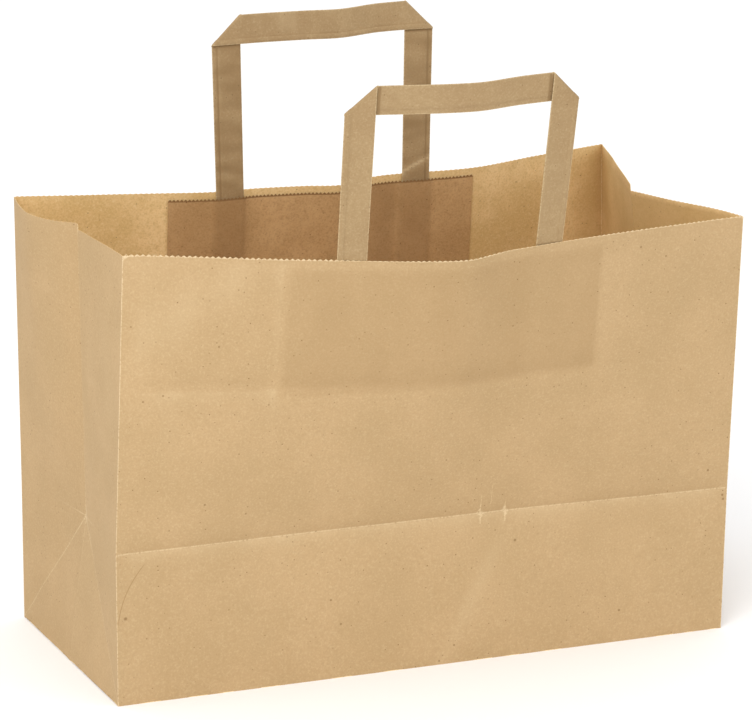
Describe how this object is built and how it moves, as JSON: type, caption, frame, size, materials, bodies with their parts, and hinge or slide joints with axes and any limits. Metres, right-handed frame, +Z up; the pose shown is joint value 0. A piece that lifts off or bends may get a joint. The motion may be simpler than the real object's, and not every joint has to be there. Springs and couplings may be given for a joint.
{
  "type": "brown paper lunch bag",
  "caption": "Open standing carrier bag of brown kraft paper with side gussets, a block bottom, a serrated mouth and flat folded paper handles glued under inner patches.",
  "frame": {"origin": "on the floor, in the middle of the bag's rectangular base", "axes": "+X along the wide front panel to the right, +Y from the front panel to the rear panel, +Z up out of the mouth"},
  "size_m": [0.3725, 0.2266, 0.3494],
  "materials": {
    "bag_kraft": "uncoated machine-glazed brown kraft, matt",
    "handle_kraft": "folded multi-ply brown kraft strip, matt",
    "patch_kraft": "darker brown kraft, matt"
  },
  "bodies": {
    "root": {"bag_body": "bag_kraft", "front_handle": "handle_kraft", "rear_handle": "handle_kraft", "front_patch": "patch_kraft", "rear_patch": "patch_kraft"}
  },
  "joints": []
}
